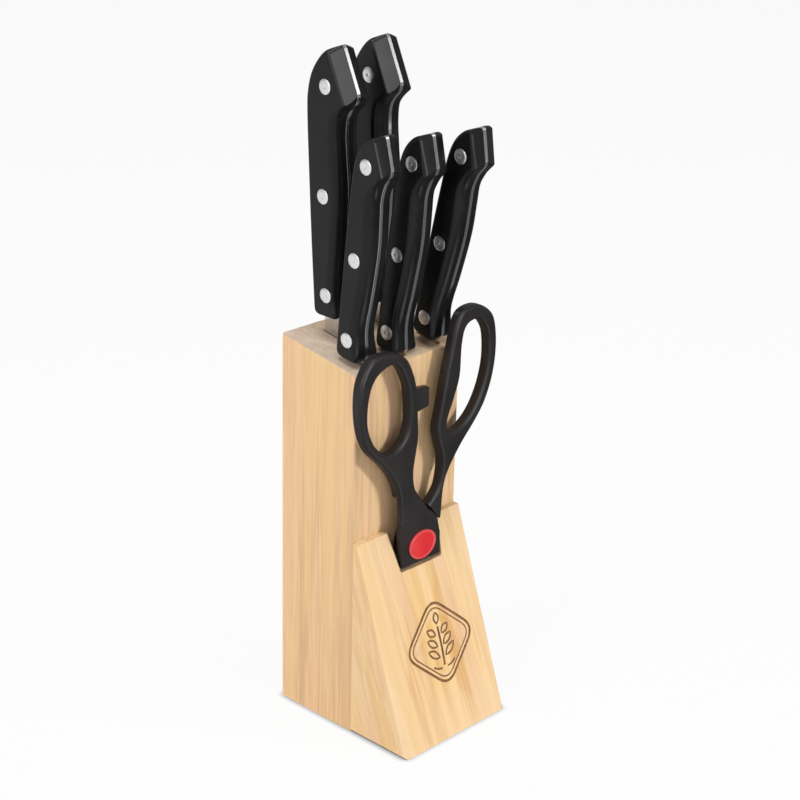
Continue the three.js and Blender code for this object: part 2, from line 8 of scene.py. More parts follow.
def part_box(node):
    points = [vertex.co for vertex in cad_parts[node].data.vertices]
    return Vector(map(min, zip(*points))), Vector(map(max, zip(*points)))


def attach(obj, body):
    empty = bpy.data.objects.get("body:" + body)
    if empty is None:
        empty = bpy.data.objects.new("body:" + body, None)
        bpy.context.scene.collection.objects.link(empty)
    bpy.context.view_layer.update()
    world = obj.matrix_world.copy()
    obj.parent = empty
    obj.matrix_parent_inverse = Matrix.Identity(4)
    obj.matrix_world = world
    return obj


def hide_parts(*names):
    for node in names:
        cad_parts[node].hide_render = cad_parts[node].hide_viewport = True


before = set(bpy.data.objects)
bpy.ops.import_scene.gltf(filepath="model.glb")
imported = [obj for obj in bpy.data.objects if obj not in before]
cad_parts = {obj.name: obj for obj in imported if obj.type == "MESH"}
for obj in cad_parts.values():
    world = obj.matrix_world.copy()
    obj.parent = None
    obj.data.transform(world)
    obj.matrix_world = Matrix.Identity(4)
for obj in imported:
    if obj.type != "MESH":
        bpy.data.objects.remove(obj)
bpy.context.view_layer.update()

# ---- Camera, floor and lamps ----
# The knife block stands on a pale floor and is seen from its front left corner, a little from above.
# A large soft lamp on the left and one overhead light the wood, and a small one at the front right
# throws the shadows. Cards beside the set are seen only in the gloss of the plastic and the metal.

MM = 0.001
AIM = Vector((0, -20, 168.373)) * MM
AZIMUTH, ELEVATION, ROLL = (math.radians(a) for a in (-46.657, 21.784, 1.370))
DISTANCE = 955.3 * MM
LENS = 88.29
FAR = 20

right = Vector((math.cos(AZIMUTH), math.sin(AZIMUTH), 0))
back = Vector((
    math.sin(AZIMUTH) * math.cos(ELEVATION),
    -math.cos(AZIMUTH) * math.cos(ELEVATION),
    math.sin(ELEVATION),
))
up = back.cross(right)
across = right * math.cos(ROLL) + up * math.sin(ROLL)
upward = up * math.cos(ROLL) - right * math.sin(ROLL)

lens = bpy.data.cameras.new("camera")
lens.lens = LENS
lens.clip_end = FAR
camera = bpy.data.objects.new("camera", lens)
camera.matrix_world = Matrix.LocRotScale(
    AIM + back * DISTANCE, Matrix((across, upward, back)).transposed().to_quaternion(), None
)
bpy.context.scene.collection.objects.link(camera)
bpy.context.scene.camera = camera
bpy.context.scene.view_settings.view_transform = "Standard"


def linear(red, green, blue):
    """A colour given as it looks on a screen, 0 to 255, as the shader wants it."""
    def channel(value):
        value /= 255
        return value / 12.92 if value <= 0.04045 else ((value + 0.055) / 1.055) ** 2.4
    return channel(red), channel(green), channel(blue), 1


def node(tree, kind, inputs=None, **settings):
    """Adds a node. An input is given by its name or number, as a value or as a socket to link."""
    made = tree.nodes.new(kind)
    for key, value in settings.items():
        setattr(made, key, value)
    for key, value in (inputs or {}).items():
        if isinstance(value, bpy.types.NodeSocket):
            tree.links.new(value, made.inputs[key])
        else:
            made.inputs[key].default_value = value
    return made


def blank_material(name):
    """A material whose nodes are still to be added."""
    material = bpy.data.materials.new(name)
    material.use_nodes = True
    material.node_tree.nodes.clear()
    return material


WHITE = (1, 1, 1, 1)
PAPER = (0.9, 0.9, 0.9, 1)
FLOOR_SIZE = 6
FLOOR_SHADE = 0.07
CONTACT_SHADOW_REACH = 3.5 * MM

bpy.ops.object.select_all(action="DESELECT")
bpy.ops.mesh.primitive_plane_add(size=FLOOR_SIZE)
floor = bpy.context.object
floor.name = "floor"
paper = blank_material("white_paper")
tree = paper.node_tree
matt = node(tree, "ShaderNodeBsdfDiffuse", {"Color": PAPER})
# near the block the floor's glow is dimmed by ambient occlusion: a painted contact shadow
painted_contact_shadow = node(tree, "ShaderNodeAmbientOcclusion", {"Distance": CONTACT_SHADOW_REACH})
glow = node(tree, "ShaderNodeEmission", {"Color": painted_contact_shadow.outputs["Color"], "Strength": 1.0})
seen = node(tree, "ShaderNodeLightPath")
direct = node(tree, "ShaderNodeMath", {
    0: seen.outputs["Is Camera Ray"], 1: seen.outputs["Is Glossy Ray"],
}, operation="MAXIMUM")
share = node(tree, "ShaderNodeMath", {0: direct.outputs[0], 1: 1 - FLOOR_SHADE}, operation="MULTIPLY")
mixed = node(tree, "ShaderNodeMixShader", {0: share.outputs[0], 1: matt.outputs[0], 2: glow.outputs[0]})
node(tree, "ShaderNodeOutputMaterial", {"Surface": mixed.outputs[0]})
floor.data.materials.append(paper)

WORLD_TINT = (1, 0.88, 0.74, 1)
WORLD_LIGHT = 0.11
WORLD_SHEEN = 0.43

world = bpy.data.worlds.new("studio")
bpy.context.scene.world = world
world.use_nodes = True
tree = world.node_tree
tree.nodes.clear()
ambient = node(tree, "ShaderNodeBackground", {"Color": WORLD_TINT, "Strength": WORLD_LIGHT})
sheen = node(tree, "ShaderNodeBackground", {"Color": WHITE, "Strength": WORLD_SHEEN})
backdrop = node(tree, "ShaderNodeBackground", {"Color": WHITE, "Strength": 1.0})
seen = node(tree, "ShaderNodeLightPath")
mixed = node(tree, "ShaderNodeMixShader", {
    0: seen.outputs["Is Glossy Ray"], 1: ambient.outputs[0], 2: sheen.outputs[0],
})
mixed = node(tree, "ShaderNodeMixShader", {
    0: seen.outputs["Is Camera Ray"], 1: mixed.outputs[0], 2: backdrop.outputs[0],
})
node(tree, "ShaderNodeOutputWorld", {"Surface": mixed.outputs[0]})


def lamp(name, place, size, watts, glints=True):
    """A square soft lamp aimed at the block. Without glints it stays out of the gloss."""
    light = bpy.data.lights.new(name, "AREA")
    light.shape = "SQUARE"
    light.size = size
    light.energy = watts
    hung = bpy.data.objects.new(name, light)
    hung.location = place
    hung.rotation_euler = (AIM - Vector(place)).to_track_quat("-Z", "Y").to_euler()
    hung.visible_glossy = glints
    bpy.context.scene.collection.objects.link(hung)


lamp("left_lamp", (-1.7, -0.05, 0.95), size=1.1, watts=17.7)
lamp("top_lamp", (-0.2, -0.1, 1.9), size=1.0, watts=15)
lamp("front_lamp", (0.97, -1.6, 0.72), size=0.3, watts=19.4, glints=False)

LYING = 0.01


def card(name, place, size, tone):
    """A card that only the gloss shows, as a lighter or darker tone. Low down it lies on the floor."""
    paint = blank_material(name)
    tree = paint.node_tree
    shine = node(tree, "ShaderNodeEmission", {"Color": WHITE, "Strength": tone})
    node(tree, "ShaderNodeOutputMaterial", {"Surface": shine.outputs[0]})
    facing = (AIM - Vector(place)).to_track_quat("Z", "Y").to_euler()
    turn = facing if place[2] > LYING else (0, 0, 0)
    bpy.ops.object.select_all(action="DESELECT")
    bpy.ops.mesh.primitive_plane_add(size=size, location=place, rotation=turn)
    sheet = bpy.context.object
    sheet.name = name
    sheet.data.materials.append(paint)
    for ray in ("camera", "diffuse", "shadow", "transmission"):
        setattr(sheet, f"visible_{ray}", False)


card("dark_floor_card", (1.05, 0.3, 0.004), size=2.4, tone=0.17)
card("bright_floor_card", (0.06, -0.25, 0.005), size=0.14, tone=3.2)
card("dark_side_card", (1.7, 0.3, 0.2), size=1.2, tone=0.12)
card("dark_low_card", (1.22, -1.34, 0.2), size=0.62, tone=0.3)
card("bright_left_card", (-0.53, -1.75, 0.93), size=1.3, tone=8.4)
card("bright_right_card", (1.3, -1.42, 0.94), size=0.46, tone=3.0)

# ---- Block: six upright boards ----
# Solid pale hardwood, planed and glued face to face, with a knife slot sawn into the left face of
# each board but the first. The top is sawn to a slope, and every edge is lightly sanded.


def alone(piece):
    """Makes this piece the one that the next operator works on."""
    bpy.ops.object.select_all(action="DESELECT")
    piece.select_set(True)
    bpy.context.view_layer.objects.active = piece


def edit(piece, action="SELECT"):
    """Opens a piece for editing, with all of it selected or nothing."""
    alone(piece)
    bpy.ops.object.mode_set(mode="EDIT")
    bpy.ops.mesh.select_mode(type="VERT")
    bpy.ops.mesh.select_all(action=action)


def done():
    """Closes the piece that is open for editing."""
    bpy.ops.object.mode_set(mode="OBJECT")


def apply(piece, kind, **settings):
    """Puts a modifier on a piece and applies it."""
    modifier = piece.modifiers.new(kind, kind)
    for key, value in settings.items():
        setattr(modifier, key, value)
    alone(piece)
    bpy.ops.object.modifier_apply(modifier=modifier.name)


def eased(piece, width, segments=2, degrees=40):
    """Rounds every sharp edge a little."""
    apply(piece, "BEVEL", width=width, segments=segments, limit_method="ANGLE",
          angle_limit=math.radians(degrees), harden_normals=False)


def smooth(piece, degrees=40):
    """Curved faces shade as one, flat ones stay flat."""
    alone(piece)
    bpy.ops.object.shade_smooth_by_angle(angle=math.radians(degrees))
    apply(piece, "WEIGHTED_NORMAL", keep_sharp=True, weight=90)


SAME_SPOT = 0.005 * MM
FLAT_DEGREES = 0.3


def copy_of(name, cad_node):
    """A piece with the shape of a solid, its triangles merged into whole faces."""
    piece = bpy.data.objects.new(name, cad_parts[cad_node].data.copy())
    bpy.context.scene.collection.objects.link(piece)
    piece.data.materials.clear()
    alone(piece)
    bpy.ops.mesh.customdata_custom_splitnormals_clear()
    edit(piece)
    bpy.ops.mesh.remove_doubles(threshold=SAME_SPOT)
    bpy.ops.mesh.dissolve_limited(angle_limit=math.radians(FLAT_DEGREES))
    done()
    return piece


def finished(piece, material, body, cad_node):
    """Paints a piece that is still bare, hangs it on its body and lets it stand for its solid."""
    if not piece.data.materials:
        piece.data.materials.append(material)
    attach(piece, body)
    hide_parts(cad_node)


def ramp(tree, source, stops):
    """Turns a value into one of several colours or greys, by (place, colour)."""
    made = node(tree, "ShaderNodeValToRGB", {0: source})
    while len(made.color_ramp.elements) < len(stops):
        made.color_ramp.elements.new(0.5)
    for element, (place, colour) in zip(made.color_ramp.elements, stops):
        element.position = place
        element.color = colour if hasattr(colour, "__len__") else (colour, colour, colour, 1)
    return made.outputs["Color"]


def surface(name):
    """A material with the usual shader, given with its node tree and that shader."""
    material = bpy.data.materials.new(name)
    material.use_nodes = True
    return material, material.node_tree, material.node_tree.nodes["Principled BSDF"]


def mixed_colour(tree, share, first, second, blend="MIX"):
    """Goes from the first colour to the second by the share."""
    made = node(tree, "ShaderNodeMix", {0: share, 6: first, 7: second}, data_type="RGBA", blend_type=blend)
    return made.outputs[2]


def shaded(colour, share, lift=0.0):
    """A lighter or darker tone of a colour."""
    return tuple(channel * share + lift for channel in colour[:3]) + (1,)


def maths(tree, operation, first, second=0.0):
    """One step of arithmetic on values."""
    return node(tree, "ShaderNodeMath", {0: first, 1: second}, operation=operation).outputs[0]


def summed(tree, *parts):
    """Adds up values, each given with its own weight."""
    *others, total = [maths(tree, "MULTIPLY", value, weight) for value, weight in parts]
    for part in reversed(others):
        total = maths(tree, "ADD", part, total)
    return total


def grain(tree, coordinates, scale, stretch, detail, distortion=0.0, seed=0.0):
    """Noise drawn out along the fibres. stretch is by how much its z is squeezed."""
    squeezed = node(tree, "ShaderNodeMapping", {
        0: coordinates, "Location": (seed, -seed, seed * 0.3), "Scale": (1, 1, stretch),
    })
    made = node(tree, "ShaderNodeTexNoise", {
        "Vector": squeezed.outputs[0], "Scale": scale, "Detail": detail, "Distortion": distortion,
    })
    return made.outputs["Fac"]


def relief(tree, shader, height, strength, depth):
    """Gives the surface a fine relief, whose depth is in mm."""
    bump = node(tree, "ShaderNodeBump", {"Height": height, "Strength": strength, "Distance": depth * MM})
    tree.links.new(bump.outputs[0], shader.inputs["Normal"])


FLECK = linear(186, 138, 92)
# the paler tone of sharp edges: sanded wear and a painted highlight
SANDED_AND_HIGHLIGHT = linear(252, 222, 180)
TINT_SHARE = 0.6
FIBRE_SHARE = 0.26
FLECK_SHARE = 0.16
SANDED_AND_HIGHLIGHT_SHARE = 0.5
PORE_SHADE = 0.74
WOOD_GLOSS = 0.3


def wood(name, seed, colours, end, turn, pith=(0.06, 0.09)):
    """Pale hardwood with its fibres upright: broad bands, growth rings about a pith, streaks and flecks."""
    pale, body, dark, rosy, golden = colours
    material, tree, shader = surface(name)
    place = node(tree, "ShaderNodeTexCoord")
    turned = node(tree, "ShaderNodeMapping", {0: place.outputs["Object"], "Rotation": turn}).outputs[0]

    # growth rings, streaks and bands make the tone
    drift = node(tree, "ShaderNodeMapping", {
        0: turned, "Location": (pith[0] + seed * 0.013, pith[1], seed), "Scale": (1, 1, 0.04),
    })
    rings = node(tree, "ShaderNodeTexWave", {
        "Vector": drift.outputs[0], "Scale": 30, "Distortion": 7, "Detail": 2, "Detail Scale": 14,
        "Detail Roughness": 0.5,
    }, wave_type="RINGS", rings_direction="Z", wave_profile="SIN")
    bands = grain(tree, turned, scale=48, stretch=0.04, detail=1.5, distortion=0.2, seed=seed + 3)
    streaks = grain(tree, turned, scale=150, stretch=0.045, detail=2.2, distortion=0.25, seed=seed)
    tone = summed(tree, (rings.outputs["Fac"], 0.2), (streaks, 0.5), (bands, 0.62))
    colour = ramp(tree, tone, [(0.50, pale), (0.64, body), (0.80, dark)])
    hue = grain(tree, turned, scale=105, stretch=0.05, detail=1, distortion=0.1, seed=seed + 12)
    rosy_share = maths(tree, "MULTIPLY", ramp(tree, hue, [(0.50, 0.0), (0.62, 1.0)]), TINT_SHARE)
    golden_share = maths(tree, "MULTIPLY", ramp(tree, hue, [(0.36, 1.0), (0.50, 0.0)]), TINT_SHARE)
    colour = mixed_colour(tree, rosy_share, colour, rosy)
    colour = mixed_colour(tree, golden_share, colour, golden)

    # fibres and short flecks
    fibres = grain(tree, turned, scale=1300, stretch=0.012, detail=2, seed=seed + 5)
    fibre_tone = ramp(tree, fibres, [(0.3, 0.42), (0.7, 0.6)])
    colour = mixed_colour(tree, FIBRE_SHARE, colour, fibre_tone, "SOFT_LIGHT")
    flecks = grain(tree, turned, scale=800, stretch=0.09, detail=1, seed=seed + 9)
    fleck_share = maths(tree, "MULTIPLY", ramp(tree, flecks, [(0.70, 0.0), (0.80, 1.0)]), FLECK_SHARE)
    colour = mixed_colour(tree, fleck_share, colour, FLECK)

    # end grain is greyer, with the pores as dots
    facing = node(tree, "ShaderNodeSeparateXYZ", {0: place.outputs["Normal"]})
    upright = maths(tree, "ABSOLUTE", facing.outputs["Z"])
    end_share = ramp(tree, upright, [(0.80, 0.0), (0.93, 1.0)])
    pores = grain(tree, turned, scale=1300, stretch=1.0, detail=2, seed=seed + 2)
    end_tone = summed(tree, (rings.outputs["Fac"], 0.5), (pores, 0.5))
    pore_share = ramp(tree, end_tone, [(0.3, 0.0), (0.75, 1.0)])
    ends = mixed_colour(tree, pore_share, end, shaded(end, PORE_SHADE))
    colour = mixed_colour(tree, end_share, colour, ends)

    # sharp edges are painted paler: partly sanded wear, partly a painted highlight where light catches the
    # rounded edges
    worn = node(tree, "ShaderNodeNewGeometry").outputs["Pointiness"]
    sanded_and_highlight_share = maths(tree, "MULTIPLY", ramp(tree, worn, [(0.505, 0.0), (0.55, 1.0)]), SANDED_AND_HIGHLIGHT_SHARE)
    colour = mixed_colour(tree, sanded_and_highlight_share, colour, SANDED_AND_HIGHLIGHT)
    tree.links.new(colour, shader.inputs["Base Color"])

    rough = ramp(tree, streaks, [(0.3, 0.50), (0.7, 0.62)])
    tree.links.new(rough, shader.inputs["Roughness"])
    shader.inputs["Specular IOR Level"].default_value = WOOD_GLOSS
    relief(tree, shader, summed(tree, (fibres, 0.7), (fleck_share, -1.2)), strength=0.2, depth=0.12)
    return material


BOARDS = 6
BOARD_EASE = 0.22 * MM
BOARD_TURN = (0.008, 0.006)
BOARD_SEED = 1.7
BOARD_COLOURS = (linear(253, 209, 149), linear(240, 189, 131), linear(203, 149, 95),
                 linear(248, 190, 149), linear(241, 196, 120))
LEFT_END = Vector(linear(227, 213, 213))
RIGHT_END = Vector(linear(236, 204, 168))

for number in range(1, BOARDS + 1):
    board = copy_of(f"board_{number}", f"block_board_{number}")
    eased(board, BOARD_EASE)
    smooth(board)
    end = tuple(LEFT_END.lerp(RIGHT_END, (number - 1) / (BOARDS - 1)))
    turn = [angle * (-1) ** number for angle in BOARD_TURN]
    timber = wood(f"board_timber_{number}", number * BOARD_SEED, BOARD_COLOURS, end, (*turn, 0))
    finished(board, timber, "block", f"block_board_{number}")

# ---- Wedge with the burnt mark ----
# A solid wedge of the same hardwood, glued to the block's front. A notch in its top takes the root of
# the scissors, with a closed pocket for their blades behind it. A mark is burnt into its sloping
# face with a hot iron: a lozenge of two lines round a sprig of leaves.

WEDGE_EASE = 0.8 * MM
WEDGE_COLOURS = (linear(253, 217, 162), linear(245, 202, 143), linear(226, 174, 108),
                 linear(246, 206, 167), linear(243, 198, 120))
WEDGE_END = linear(236, 204, 160)
WEDGE_SEED = 21.3
WEDGE_TURN = (math.radians(18.6), 0.07, 0)
WEDGE_PITH = (-0.02, 0.13)
WEDGE_TOP_Y = -29.1 * MM

# the mark is in mm about its centre on the slope, and a line is given by its groove's radius
MARK_CENTRE = Vector((2.6, -49.2, 45.5)) * MM
BOLD_LINE = 0.72
PLAIN_LINE = 0.56
THIN_LINE = 0.42
OUTER_LOZENGE = (25, 23, 0.24)
INNER_LOZENGE = (21.8, 19.9, 0.22)
STEM_FOOT = -12
STEM_LENGTH = 20
STEM_SWAY = 0.5
STEM_WAVE = 2.2
TOP_LEAF = {"base": (0.3, 9.6), "angle": -0.08, "length": 5.6}
LEAF_PAIRS = ((-7.4, 8.4), (-1.6, 7.4), (4.2, 6.2))
LEAF_GAP = 2.2
LEAF_SPREAD = 0.95
LEAF_WIDTH = 3.4
TICK_GAP = 2.1
TICK_LENGTH = 5.6
TICK_FOOT = -13
TICK_RISE = 2
TUBE_MERGE = 0.001 * MM

SCORCH = linear(130, 90, 54)
SINGED = linear(166, 120, 76)
TOASTED = linear(196, 148, 98)
SCORCH_ROUGHNESS = 0.85

wedge_low, wedge_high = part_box("block_wedge")
slope = Vector((0, WEDGE_TOP_Y - wedge_low.y, wedge_high.z)).normalized()
outward = Vector((1, 0, 0)).cross(slope)
mark_place = Matrix((Vector((1, 0, 0)), slope, outward)).transposed().to_4x4()
mark_place.translation = MARK_CENTRE


def bend(start, control, end, steps=5):
    """A corner rounded from start to end, without its start."""
    start, control, end = Vector(start), Vector(control), Vector(end)
    times = [k / steps for k in range(1, steps + 1)]
    return [start * (1 - t) ** 2 + control * 2 * t * (1 - t) + end * t * t for t in times]


def lozenge(half_width, half_height, corner, steps=6):
    """A diamond with rounded corners, as points going round."""
    tips = [(half_width, 0), (0, half_height), (-half_width, 0), (0, -half_height)]
    tips = [Vector(tip) for tip in tips]
    points = []
    for i, tip in enumerate(tips):
        before = tip.lerp(tips[i - 1], corner)
        after = tip.lerp(tips[(i + 1) % len(tips)], corner)
        points += [before, *bend(before, tip, after, steps)]
    return points


def leaf(base, angle, length, steps=7, fullness=0.9):
    """A pointed leaf as a closed outline."""
    turn = Matrix.Rotation(angle, 2)
    side = []
    for k in range(steps + 1):
        bulge = math.sin(math.pi * k / steps) ** fullness
        side.append(Vector((bulge * LEAF_WIDTH / 2, length * k / steps)))
    points = side + [Vector((-p.x, p.y)) for p in side[-2:0:-1]]
    return [Vector(base) + turn @ p for p in points]


def stem(steps=10):
    """The sprig's stem, swaying a little."""
    times = [k / steps for k in range(steps + 1)]
    return [Vector((STEM_SWAY * math.sin(t * STEM_WAVE), STEM_FOOT + STEM_LENGTH * t)) for t in times]


def tick(side, steps=4):
    """A short curved line beside the stem's foot."""
    times = [k / steps for k in range(steps + 1)]
    return [Vector((side * (TICK_GAP + TICK_LENGTH * t), TICK_FOOT + TICK_RISE * t * t)) for t in times]


def stroke(points, radius, closed=True):
    """A tube along the points, to cut a round-bottomed groove with."""
    line = bpy.data.curves.new("stroke", "CURVE")
    line.dimensions = "3D"
    line.bevel_depth = radius * MM
    line.bevel_resolution = 1
    line.use_fill_caps = True
    spline = line.splines.new("POLY")
    spline.points.add(len(points) - 1)
    for target, point in zip(spline.points, points):
        target.co = (point.x * MM, point.y * MM, 0, 1)
    spline.use_cyclic_u = closed
    tube = bpy.data.objects.new("stroke", line)
    bpy.context.scene.collection.objects.link(tube)
    tube.matrix_world = mark_place
    return tube


strokes = [
    stroke(lozenge(*OUTER_LOZENGE), BOLD_LINE),
    stroke(lozenge(*INNER_LOZENGE), THIN_LINE),
    stroke(stem(), BOLD_LINE, closed=False),
    stroke(leaf(**TOP_LEAF), PLAIN_LINE),
]
for height, length in LEAF_PAIRS:
    for side in (1, -1):
        strokes.append(stroke(leaf((side * LEAF_GAP, height), -side * LEAF_SPREAD, length), PLAIN_LINE))
for side in (1, -1):
    strokes.append(stroke(tick(side), PLAIN_LINE, closed=False))

bpy.ops.object.select_all(action="DESELECT")
for tube in strokes:
    tube.select_set(True)
bpy.context.view_layer.objects.active = strokes[0]
bpy.ops.object.convert(target="MESH")
bpy.ops.object.join()
iron = bpy.context.object
iron.name = "mark_iron"
bpy.ops.object.transform_apply(location=True, rotation=True, scale=True)
edit(iron)
bpy.ops.mesh.remove_doubles(threshold=TUBE_MERGE)
bpy.ops.mesh.normals_make_consistent(inside=False)
done()

scorched, tree, shader = surface("scorched_wood")
place = node(tree, "ShaderNodeTexCoord").outputs["Object"]
char = grain(tree, place, scale=700, stretch=0.15, detail=3)
burnt = ramp(tree, char, [(0.35, SCORCH), (0.62, SINGED), (0.8, TOASTED)])
tree.links.new(burnt, shader.inputs["Base Color"])
shader.inputs["Roughness"].default_value = SCORCH_ROUGHNESS
relief(tree, shader, char, strength=0.3, depth=0.1)
iron.data.materials.clear()
iron.data.materials.append(scorched)

wedge = copy_of("wedge", "block_wedge")
eased(wedge, WEDGE_EASE)
timber = wood("wedge_timber", WEDGE_SEED, WEDGE_COLOURS, WEDGE_END, WEDGE_TURN, WEDGE_PITH)
wedge.data.materials.append(timber)
apply(wedge, "BOOLEAN", object=iron, operation="DIFFERENCE", solver="EXACT", use_self=True,
      material_mode="TRANSFER")
bpy.data.objects.remove(iron)
smooth(wedge)
finished(wedge, None, "block", "block_wedge")

# ---- Knives ----
# Each knife is one plate of ground steel from its tip to the butt of its handle, with two scales of
# black moulded plastic riveted to the tang. The steel shows as a thin line all round the handle.
# The chef's and the bread knife have the long handle, the three short knives share another.

TOE_ROUND = 2.5
PEAK_ROUND = 2.2
HOOK_ROUND = 2.6
THROAT = Vector((2.2, -3.2))
THROAT_PULL = Vector((0.1, -0.4))
BLOCK_BACK = 25.5
BLOCK_DEPTH = 51
BLOCK_TOP = 200
TOP_DROP = 8.5

# a handle's points are in mm from its foot, towards the back and along the handle; half is half
# its thickness, and setback how far the butt slants down to its sides
LONG_HANDLE = {
    "name": "long",
    "half": 8.6,
    "back": [(7.1, 4.2), (9.2, 34), (11.2, 68), (12.7, 98), (12.3, 108.8), (9.5, 118.4), (3.3, 126.8)],
    "peak": (-3.8, 131.4),
    "hook": (-14.6, 107.8),
    "grip": [(-7.6, 98.3), (-6.5, 89), (-7.4, 77), (-8.6, 62), (-7.6, 36), (-6.2, 16)],
    "toe": (-8.6, 3),
    "setback": 3.2,
    "rivets": [(-1.2, 11), (1.2, 59.5), (0.3, 112)],
}
SHORT_HANDLE = {
    "name": "short",
    "half": 7.8,
    "back": [(6.5, 5), (7.3, 30), (8.1, 56), (8.5, 82), (8.1, 95), (6.1, 103), (1.8, 109)],
    "peak": (-3.9, 112),
    "hook": (-10.6, 95.2),
    "grip": [(-6.7, 88), (-5.6, 81), (-6.4, 72), (-7.6, 56), (-6.8, 34), (-5.6, 16)],
    "toe": (-7.9, 3),
    "setback": 1.4,
    "rivets": [(-0.1, 10), (0.8, 50.5), (0.1, 96.7)],
}

# x and y place the handle's foot, rise is its gap to the sloping top, lean is in degrees, edge is
# where the cutting edge runs, tip is the point's height, belly the part that curves to the point,
# and scallop the pitch of a scalloped edge
KNIVES = [
    {
        "name": "chef", "handle": LONG_HANDLE, "x": -15, "y": 10, "rise": 11.6, "lean": 0,
        "edge": -31, "tip": 18, "belly": 70,
    },
    {
        "name": "bread", "handle": LONG_HANDLE, "x": 15, "y": 11.5, "rise": 12.4, "lean": 0,
        "edge": -20, "tip": 21, "belly": 16, "scallop": 9,
    },
    {
        "name": "utility", "handle": SHORT_HANDLE, "x": -24.6, "y": -13.2, "rise": 2.2, "lean": 7.4,
        "edge": -8.5, "tip": 65, "belly": 45,
    },
    {
        "name": "boning", "handle": SHORT_HANDLE, "x": 0, "y": -15.2, "rise": 1.2, "lean": 9.3,
        "edge": -6.5, "tip": 72, "belly": 60,
    },
    {
        "name": "paring", "handle": SHORT_HANDLE, "x": 24.6, "y": -16.1, "rise": 3.7, "lean": 13.6,
        "edge": -6.5, "tip": 100, "belly": 35,
    },
]
for knife in KNIVES:
    lean = math.radians(knife["lean"])
    foot = BLOCK_TOP - TOP_DROP * (BLOCK_BACK - knife["y"]) / BLOCK_DEPTH + knife["rise"]
    spot = Vector((knife["x"], knife["y"], foot)) * MM
    knife["length"] = (foot - knife["tip"]) / math.cos(lean)
    knife["place"] = Matrix.Translation(spot) @ Matrix.Rotation(lean, 4, "X")


def between(a, b, c, d, t):
    """A point on the smooth line through a, b, c and d, by its share t of the way from b to c."""
    v, w = (c - a) / 2, (d - b) / 2
    return (2 * b - 2 * c + v + w) * t ** 3 + (3 * c - 3 * b - 2 * v - w) * t ** 2 + v * t + b


def through(points, steps=6):
    """A smooth line through the points, without the first of them."""
    points = [Vector(p) for p in points]
    points = [points[0], *points, points[-1]]
    line = []
    for i in range(len(points) - 3):
        line += [between(*points[i:i + 4], k / steps) for k in range(1, steps + 1)]
    return line


def handle_outline(handle):
    """The handle's side view, as (across, along) in mm, and which of its points are on the grip."""
    corner_across, corner_along = handle["back"][0]
    hook, toe = Vector(handle["hook"]), Vector(handle["toe"])
    foot_front, foot_back = (toe.x + TOE_ROUND, 0), (corner_across - corner_along, 0)
    line = [Vector(foot_front), Vector(foot_back)]
    line += bend(foot_back, (corner_across, 0), handle["back"][0])
    line += through([*handle["back"], handle["peak"]])
    peak = line.pop()
    line += bend(line.pop(), peak, peak + (hook - peak).normalized() * PEAK_ROUND)
    line.append(hook + (peak - hook).normalized() * HOOK_ROUND)
    throat = hook + THROAT
    line += bend(line[-1], hook + THROAT_PULL, throat, steps=8)
    first = len(line)
    line += through([throat, *handle["grip"], handle["toe"]])
    last = len(line)
    line += bend(toe, (toe.x, 0), foot_front)[:-1]
    return line, range(first - 1, last)


# ---- Knife scales ----
# Two mirrored shells of satin black plastic to each knife. Their edges are rounded, more at the front
# where the fingers close, the butt is cut to a slanting flat, and three holes take the rivets.

BLADE_HALF = 1.0
EDGE_ROUND = 2
GRIP_ROUND = 4.7
GRIP_FADE = 6
TURN_REACH = 1.6
TURN_SHARE = 0.8
RADIUS_GROWTH = 0.3
STRAIGHT = 0.01
SIDE_ROLL = 2.4
TOP_ROLL = 3.4
BUTT_EASE = 0.3 * MM
RIVET_RADIUS = 3.7
RIVET_GAP = 0.22
DRILL_HALF = 12


def bisect(piece, place, normal, **settings):
    """Cuts a piece along a plane through a place in mm."""
    edit(piece)
    bpy.ops.mesh.bisect(plane_co=Vector(place) * MM, plane_no=normal, **settings)
    done()


def cut(piece, cutter, operation="DIFFERENCE"):
    """Takes the cutter away from the piece, or adds it, and drops the cutter."""
    apply(piece, "BOOLEAN", object=cutter, operation=operation, solver="EXACT")
    bpy.data.objects.remove(cutter)


def bar(place, radius, length, turn, vertices):
    """A round bar whose middle is at a place."""
    bpy.ops.object.select_all(action="DESELECT")
    bpy.ops.mesh.primitive_cylinder_add(
        vertices=vertices, radius=radius, depth=length, location=place, rotation=turn
    )
    return bpy.context.object


def rod(spot, radius, half):
    """A round bar across the handle, to drill with or to turn a rivet from."""
    place = (0, spot[0] * MM, spot[1] * MM)
    piece = bar(place, radius * MM, 2 * half * MM, turn=(0, math.pi / 2, 0), vertices=40)
    bpy.ops.object.transform_apply(location=True, rotation=True, scale=True)
    return piece


def copied(piece, name, move):
    """A copy with its own mesh, put in its place."""
    twin = bpy.data.objects.new(name, piece.data.copy())
    twin.data.transform(move)
    bpy.context.scene.collection.objects.link(twin)
    return twin


def rounding(outline, grip):
    """How far the rim is rounded at each point of the outline: less where it turns sharply."""
    count = len(outline)
    place = [0.0]
    for i in range(1, count + 1):
        place.append(place[-1] + (outline[i % count] - outline[i - 1]).length)
    around = place.pop()

    def apart(i, j):
        gap = abs(place[i] - place[j])
        return min(gap, around - gap)

    turns = []
    for i in range(count):
        before, after = outline[i] - outline[i - 1], outline[(i + 1) % count] - outline[i]
        turns.append(-before.angle_signed(after))
    radii = []
    for i in range(count):
        ends = min(i - grip.start, grip.stop - i)
        wanted = EDGE_ROUND + (GRIP_ROUND - EDGE_ROUND) * min(max(ends / GRIP_FADE, 0), 1)
        turn = sum(turns[j] for j in range(count) if apart(i, j) <= TURN_REACH)
        radii.append(min(wanted, TURN_SHARE * 2 * TURN_REACH / turn) if turn > STRAIGHT else wanted)
    return [min(radii[j] + RADIUS_GROWTH * apart(i, j) for j in range(count)) for i in range(count)]


